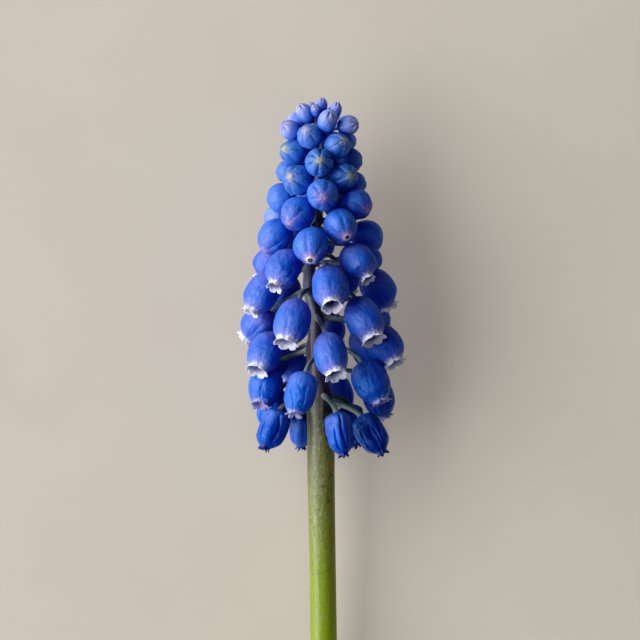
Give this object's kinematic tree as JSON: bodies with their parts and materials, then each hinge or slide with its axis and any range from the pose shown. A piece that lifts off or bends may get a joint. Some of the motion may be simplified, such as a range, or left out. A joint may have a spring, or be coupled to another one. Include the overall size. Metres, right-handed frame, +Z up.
{
  "type": "grape hyacinth flower",
  "caption": "Cut grape hyacinth lying on its side: a bare round green stem and a tapering head of blue urn-shaped florets with white frilled mouths, and closed buds above.",
  "frame": {"origin": "middle of the underside of the whole part's box, on the surface that the cut stem lies on", "axes": "+Y along the stem towards the tip of the head, +Z up, +X to the right as the picture shows it"},
  "size_m": [0.0204, 0.0996, 0.0178],
  "materials": {
    "petal_blue": "satin",
    "stem_green": "satin"
  },
  "bodies": {
    "root": {"raceme": "petal_blue", "scape": "stem_green"}
  },
  "joints": []
}
